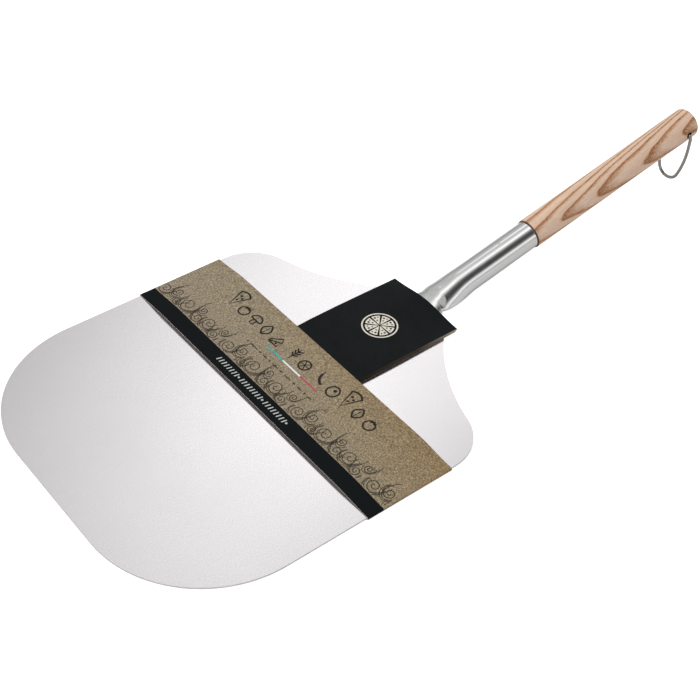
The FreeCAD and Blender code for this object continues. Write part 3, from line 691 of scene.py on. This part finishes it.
def arc(centre, radius, start, end, count=16, squeeze=1.0):
    """Points round an arc, in degrees from +u; squeeze flattens it."""
    return [(centre[0] + radius * math.cos(math.radians(start + (end - start) * i / count)),
             centre[1] + radius * squeeze * math.sin(math.radians(start + (end - start) * i / count)))
            for i in range(count + 1)]


# The curls: spirals with ripples round them, in groups that repeat along the band.
CURL_GROUP = 92.0
CURLS = (
    # place along the group, height, radius, hand, start angle, ripples
    (7, 7.5, 6.0, 1, 200, 2),
    (19, 12.5, 5.0, -1, 20, 2),
    (28, 5.0, 4.2, 1, 190, 1),
    (38, 9.5, 7.2, 1, 215, 3),
    (52, 15.0, 4.2, -1, 10, 1),
    (56, 6.0, 4.8, -1, -20, 2),
    (68, 10.0, 6.6, 1, 205, 2),
    (80, 5.0, 4.4, -1, -10, 2),
    (85, 14.0, 3.6, 1, 180, 1),
)


def curl_strokes():
    strokes = []

    def keep(points, width):
        run = []
        for x, y in points + [(0.0, 0.0)]:
            if x > STRIPE_REAR + 0.6 and abs(y) < FOLD - 1.0:
                run.append((x, y))
            else:
                if len(run) > 2:
                    strokes.append((run, width))
                run = []

    for group in range(4):
        for along, height, radius, hand, start, ripples in CURLS:
            y0 = 152.0 - group * CURL_GROUP - along
            x0 = STRIPE_REAR + height
            turns = 1.7
            spiral = []
            for i in range(49):
                part = i / 48
                r = radius * (1 - part) ** 0.85 + 0.35
                a = math.radians(start) + hand * part * turns * 2 * math.pi
                spiral.append((x0 + r * math.sin(a), y0 + r * math.cos(a)))
            keep(spiral, 0.75)
            first = math.radians(start)
            tail = []
            for i in range(15):
                part = i / 14
                a = first - hand * part * 1.1
                r = radius + 0.35 + part ** 1.5 * 7
                tail.append((x0 + r * math.sin(a), y0 + r * math.cos(a)))
            keep(tail, 0.65)
            for ripple in range(1, ripples + 1):
                line = []
                for i in range(29):
                    part = i / 28
                    a = first + hand * (part * 3.9 - 0.8)
                    r = radius + 1.35 * ripple + 0.5 * math.sin(part * 9 + ripple)
                    line.append((x0 + r * math.sin(a), y0 + r * math.cos(a)))
                keep(line, 0.6)
    return strokes


border_ink = ink("border_ink_brown_black", "3a352d", "4d463b", 0.7)
printed("print_curl_border", band_top, curl_strokes(), [], border_ink)

# The food drawings, each about 10 mm wide, in line as one row.
ROW_FOOT = 219.0
PEN = 1.45


def slice_drawing(h):
    return ([([(0, h), (5, 0.4), (10, h)], PEN), (arc((5, h - 4.5), 6.6, 35, 145), 1.7)],
            [arc((4.0, h - 3.2), 1.1, 0, 360, 8)[:-1], arc((6.6, h - 4.6), 1.0, 0, 360, 8)[:-1],
             arc((5.0, h - 8.0), 0.9, 0, 360, 8)[:-1]])


def mushroom_drawing(h):
    cap = arc((5, h - 5.5), 4.8, 0, 180)
    return ([(cap + [cap[0]], PEN), ([(3.6, h - 5.5), (3.3, 0.6), (6.7, 0.6), (6.4, h - 5.5)], PEN)], [])


def leaf_drawing(h):
    left = [(5 - 3.6 * math.sin(math.pi * i / 12), h * i / 12) for i in range(13)]
    right = [(10 - x, y) for x, y in reversed(left)]
    return ([(left + right, PEN), ([(5, 0.2), (5, h - 2.5)], 0.8)], [])


def tomato_drawing(h):
    star = [([(5, h - 2.0), (5 + 2.6 * math.cos(a), h - 2.0 + 1.9 * math.sin(a))], 0.9)
            for a in map(math.radians, (20, 90, 160, 220, 320))]
    return ([(arc((5, h / 2 - 0.6), h / 2 - 0.9, 0, 360, 24), PEN)] + star, [])


def olive_drawing(h):
    return ([(arc((5, h / 2), 4.4, 0, 360, 24, 1.1), PEN)], [arc((5.6, h / 2 + 1.4), 1.3, 0, 360, 10)[:-1]])


def wheat_drawing(h):
    strokes = [([(5, 0), (5, h)], 0.9)]
    for i in range(3):
        y = h * 0.32 + i * h * 0.2
        strokes += [([(5, y), (7.8, y + 2.6)], PEN), ([(5, y), (2.2, y + 2.6)], PEN)]
    return strokes, []


def cheese_drawing(h):
    return ([([(0.5, 0.6), (9.5, 0.6), (9.5, h * 0.5), (0.5, 0.6)], PEN),
             ([(9.5, h * 0.5), (7.2, h * 0.8), (0.5, h * 0.18)], PEN)],
            [arc((6.8, 2.3), 0.9, 0, 360, 8)[:-1]])


def round_drawing(h):
    spokes = [([(5, h / 2), (5 + (h / 2 - 1) * math.cos(a), h / 2 + (h / 2 - 1) * math.sin(a))], 0.8)
              for a in map(math.radians, range(0, 360, 60))]
    return [(arc((5, h / 2), h / 2 - 0.6, 0, 360, 24), 1.4)] + spokes, []


def chilli_drawing(h):
    return ([(arc((9, h - 2), 8.2, 185, 262), 2.2), ([(0.9, h - 2.6), (0.2, h)], 0.9)], [])


FOOD_ROW = (
    (slice_drawing, 15.0), (tomato_drawing, 10.0), (mushroom_drawing, 10.5), (leaf_drawing, 10.5),
    (cheese_drawing, 11.0), None,
    (wheat_drawing, 12.5), (round_drawing, 10.0), None,
    (chilli_drawing, 12.5), (olive_drawing, 9.5), (slice_drawing, 15.0), (leaf_drawing, 10.5),
    (tomato_drawing, 10.0),
)
ROW_START, ROW_PITCH, ROW_GAP, DRAWING_SCALE = 101.0, 15.0, 6.5, 1.2
row_strokes, row_fills = [], []
row_left = ROW_START
for drawing in FOOD_ROW:
    if drawing is None:
        row_left -= ROW_GAP
        continue
    lines, spots = drawing[0](drawing[1])
    for points, width in lines:
        placed = [(ROW_FOOT + v * DRAWING_SCALE, row_left - u * DRAWING_SCALE) for u, v in points]
        row_strokes.append((placed, width))
    for points in spots:
        row_fills.append([(ROW_FOOT + v * DRAWING_SCALE, row_left - u * DRAWING_SCALE) for u, v in points])
    row_left -= ROW_PITCH
row_ink = ink("row_ink_black", "23221f", "34312c", 0.62)
printed("print_food_row", band_top, row_strokes, row_fills, row_ink)

# The dashed rule beside the curls, and the pale marks on the black stripe.
DASHES = (2, 9, 3, 5, 2, 7, 4, 8, 3, 6, 2, 5)
DASH_START, DASH_GAP = 49.7, 2.6
DASH_AT, CROSS_FRONT, CROSS_REAR = 205.8, 204.6, 207.0
dash_y = DASH_START
dash_strokes = []
for dash in DASHES:
    dash_strokes.append(([(DASH_AT, dash_y), (DASH_AT, dash_y - dash)], 0.9))
    dash_strokes.append(([(CROSS_FRONT, dash_y - dash / 2), (CROSS_REAR, dash_y - dash / 2)], 0.6))
    dash_y -= dash + DASH_GAP
printed("print_dashed_rule", band_top, dash_strokes, [], border_ink)

pale_ink = ink("stripe_ink_white", "b9bab7", "d6d6d3", 0.6)
MARK_COUNT, MARK_START, MARK_PITCH = 27, 47.0, 3.45
MARK_FRONT, MARK_MIDDLE, MARK_REAR = 173.6, 175.8, 178.1
mark_fills = []
for number in range(MARK_COUNT):
    mark_y = MARK_START - number * MARK_PITCH
    if number % 9 == 8:
        mark_fills.append(arc((MARK_MIDDLE, mark_y - 0.6), 1.0, 0, 360, 10)[:-1])
        continue
    mark_fills.append([(MARK_FRONT, mark_y), (MARK_FRONT, mark_y - 1.1), (MARK_REAR, mark_y - 2.2),
                       (MARK_REAR, mark_y - 1.1)])
printed("print_stripe_marks", band_top, [], mark_fills, pale_ink)

# The striped rule, 1.5 mm wide, in three colours.
RULE_AT, RULE_WIDE = 214.5, 1.5
for name, low, high, start, end in (
    ("print_rule_green", "37a6a6", "4bb9b5", 34.7, 13.5),
    ("print_rule_white", "e9ebe8", "f6f6f3", 13.5, -9.0),
    ("print_rule_red", "b04a5c", "c4596a", -9.0, -30.0),
):
    strip = [(RULE_AT, start + (end - start) * i / 6) for i in range(7)]
    rule_ink = ink(name.replace("print", "ink"), low, high, 0.6)
    printed(name, band_top, [(strip, RULE_WIDE)], [], rule_ink)

# The mark on the cover: a whole round pie seen from above, its rim and eight slices, with toppings.
BADGE = (303.0, 0.0)
RIM_R, RIM_WIDE, SLICE_R, SLICE_TURN = 14.6, 1.3, 12.2, 45
SLICE_GAP, SLICE_SPREAD = 0.9, 19.5
# The toppings on each slice: reach from its point, turn in degrees, radius.
SLICE_TOPPINGS = ((5.6, 2, 0.75), (8.9, 8, 1.0), (9.3, -9, 0.7))
badge_ink = ink("badge_ink_cream", "e4dccb", "efe9dc", 0.6)
slices, toppings = [], []
for number in range(360 // SLICE_TURN):
    middle = SLICE_TURN * (number + 0.5)
    apex = arc(BADGE, SLICE_GAP, middle, middle, 1)[0]
    slices.append([apex] + arc(apex, SLICE_R - SLICE_GAP, middle - SLICE_SPREAD, middle + SLICE_SPREAD, 6))
    for reach, turn, size in SLICE_TOPPINGS:
        spot = arc(apex, reach, middle + turn, middle + turn, 1)[0]
        toppings.append(arc(spot, size, 0, 360, 10)[:-1])
rim = [(arc(BADGE, RIM_R, 0, 360, 64), RIM_WIDE)]
topping_ink = ink("topping_ink_black", "11181b", "1b2326", 0.55)
printed("print_badge_slices", cover_top, rim, slices, badge_ink)
printed("print_badge_toppings", cover_top, [], toppings, topping_ink,
        lift=INK_LIFT + INK_FILM + 0.02)

# ------------------------------------------------------------------ floor, light and camera
# A white sweep, a large soft light over the blade's far front corner, and a
# studio of bright strips, dark cloth and a long lamp for the metal to reflect.
bpy.ops.object.select_all(action="DESELECT")
bpy.ops.mesh.primitive_plane_add(size=80.0, location=(0, 0, -0.05 * MM))
floor = bpy.context.object
floor.name = "studio_floor"
white = new_material("white_studio_sweep")
seen = add_node(white, "ShaderNodeLightPath")
paint = add_node(white, "ShaderNodeBsdfDiffuse", Color=colour("e6e6e6"))
glow = add_node(white, "ShaderNodeEmission", Color=(1, 1, 1, 1))
strength = add_node(white, "ShaderNodeMath", {"operation": "MULTIPLY"}, i0=seen.outputs["Is Camera Ray"],
                    i1=0.80)
white.node_tree.links.new(strength.outputs[0], glow.inputs["Strength"])
total = add_node(white, "ShaderNodeAddShader", i0=paint.outputs[0], i1=glow.outputs[0])
add_node(white, "ShaderNodeOutputMaterial", Surface=total.outputs[0])
floor.data.materials.append(white)

key_data = bpy.data.lights.new("key_softbox", "AREA")
key_data.shape = "RECTANGLE"
key_data.size = 1.6
key_data.size_y = 1.2
key_data.energy = 16.0
key = bpy.data.objects.new("key_softbox", key_data)
key.location = (-1.4, 0.6, 1.5)
key.visible_glossy = False
key.rotation_euler = (Vector(key.location) * -1).to_track_quat("-Z", "Y").to_euler()
bpy.context.scene.collection.objects.link(key)

studio = bpy.data.worlds.new("studio")
bpy.context.scene.world = studio
studio.use_nodes = True
studio.node_tree.nodes.clear()
way = add_node(studio, "ShaderNodeTexCoord")
parts = add_node(studio, "ShaderNodeSeparateXYZ", Vector=way.outputs["Generated"])
toward = add_node(studio, "ShaderNodeMath", {"operation": "MULTIPLY"}, i0=parts.outputs[1], i1=-1.0)
turn = add_node(studio, "ShaderNodeMath", {"operation": "ARCTAN2"}, i0=parts.outputs[2], i1=toward.outputs[0])
level = add_node(studio, "ShaderNodeMapRange", Value=turn.outputs[0], i1=0.0, i2=math.pi, i3=0.0, i4=1.0)
# Light round the handle, from the near horizon (0) over the top (0.5) to the far horizon (1).
strips = set_ramp(add_node(studio, "ShaderNodeValToRGB", Fac=level.outputs[0]),
                  [(0.0, 0.36), (0.05, 0.72), (0.098, 1.1), (0.14, 0.75), (0.19, 0.14), (0.27, 0.05),
                   (0.36, 0.10), (0.42, 0.45), (0.455, 1.0), (0.50, 1.3), (0.545, 1.0), (0.60, 0.60), (0.71, 0.55),
                   (0.80, 0.55), (0.9, 0.42), (1.0, 0.33)], "EASE")
# One long soft lamp beyond the blade, along the handle, brighter towards its far end.
LAMP_WAY, LAMP_NARROWING, LAMP_POWER = 0.567, -50.0, 0.79
aside = add_node(studio, "ShaderNodeMath", {"operation": "SUBTRACT"}, i0=parts.outputs[1],
                 i1=LAMP_WAY)
square = add_node(studio, "ShaderNodeMath", {"operation": "MULTIPLY"}, i0=aside.outputs[0],
                  i1=aside.outputs[0])
across_lamp = add_node(studio, "ShaderNodeMath", {"operation": "MULTIPLY_ADD", "use_clamp": True},
                       i0=square.outputs[0], i1=LAMP_NARROWING, i2=1.0)
along_lamp = add_node(studio, "ShaderNodeMapRange", Value=parts.outputs[0], i1=0.15, i2=0.41, i3=0.0,
                      i4=LAMP_POWER)
# The dark cloth over the handle is narrow: to both sides of it the studio is plain grey.
beyond = add_node(studio, "ShaderNodeMapRange", Value=parts.outputs[0], i1=0.45, i2=0.60, i3=0.0, i4=1.0)
behind = add_node(studio, "ShaderNodeMapRange", Value=parts.outputs[0], i1=0.06, i2=-0.10, i3=0.0, i4=1.0)
sides = add_node(studio, "ShaderNodeMath", {"operation": "ADD", "use_clamp": True}, i0=beyond.outputs[0],
                 i1=behind.outputs[0])
PLAIN_GREY = 0.5
plain = add_node(studio, "ShaderNodeMath", {"operation": "MAXIMUM"}, i0=strips.outputs[0], i1=PLAIN_GREY)
clothed = add_node(studio, "ShaderNodeMix", {"data_type": "FLOAT"}, i0=sides.outputs[0], i2=strips.outputs[0],
                   i3=plain.outputs[0])
sum_light = add_node(studio, "ShaderNodeMath", {"operation": "MULTIPLY_ADD"}, i0=across_lamp.outputs[0],
                     i1=along_lamp.outputs[0], i2=clothed.outputs[0])
sky = add_node(studio, "ShaderNodeBackground", Color=(1, 1, 1, 1), Strength=sum_light.outputs[0])
add_node(studio, "ShaderNodeOutputWorld", Surface=sky.outputs[0])

# The camera stands over the blade's near front corner and looks along the peel.
VIEW_HEADING = math.radians(40.55)
VIEW_DOWN = math.radians(42.78)
VIEW_ROLL = math.radians(2.97)
lens_data = bpy.data.cameras.new("camera")
camera = bpy.data.objects.new("camera", lens_data)
bpy.context.scene.collection.objects.link(camera)
bpy.context.scene.camera = camera
forward = Vector((
    math.cos(VIEW_DOWN) * math.sin(VIEW_HEADING),
    math.cos(VIEW_DOWN) * math.cos(VIEW_HEADING),
    -math.sin(VIEW_DOWN),
))
level_way = Vector((math.cos(VIEW_HEADING), -math.sin(VIEW_HEADING), 0))
above = level_way.cross(forward)
right = level_way * math.cos(VIEW_ROLL) + above * math.sin(VIEW_ROLL)
upright = above * math.cos(VIEW_ROLL) - level_way * math.sin(VIEW_ROLL)
CAMERA_AT = Vector((-0.5902, -0.6190, 0.74915))
camera.matrix_world = Matrix((
    (right.x, upright.x, -forward.x, CAMERA_AT.x),
    (right.y, upright.y, -forward.y, CAMERA_AT.y),
    (right.z, upright.z, -forward.z, CAMERA_AT.z),
    (0, 0, 0, 1),
))
lens_data.lens = 70.25
lens_data.sensor_width = 36
lens_data.clip_start = 0.01
bpy.context.scene.view_settings.view_transform = "Standard"
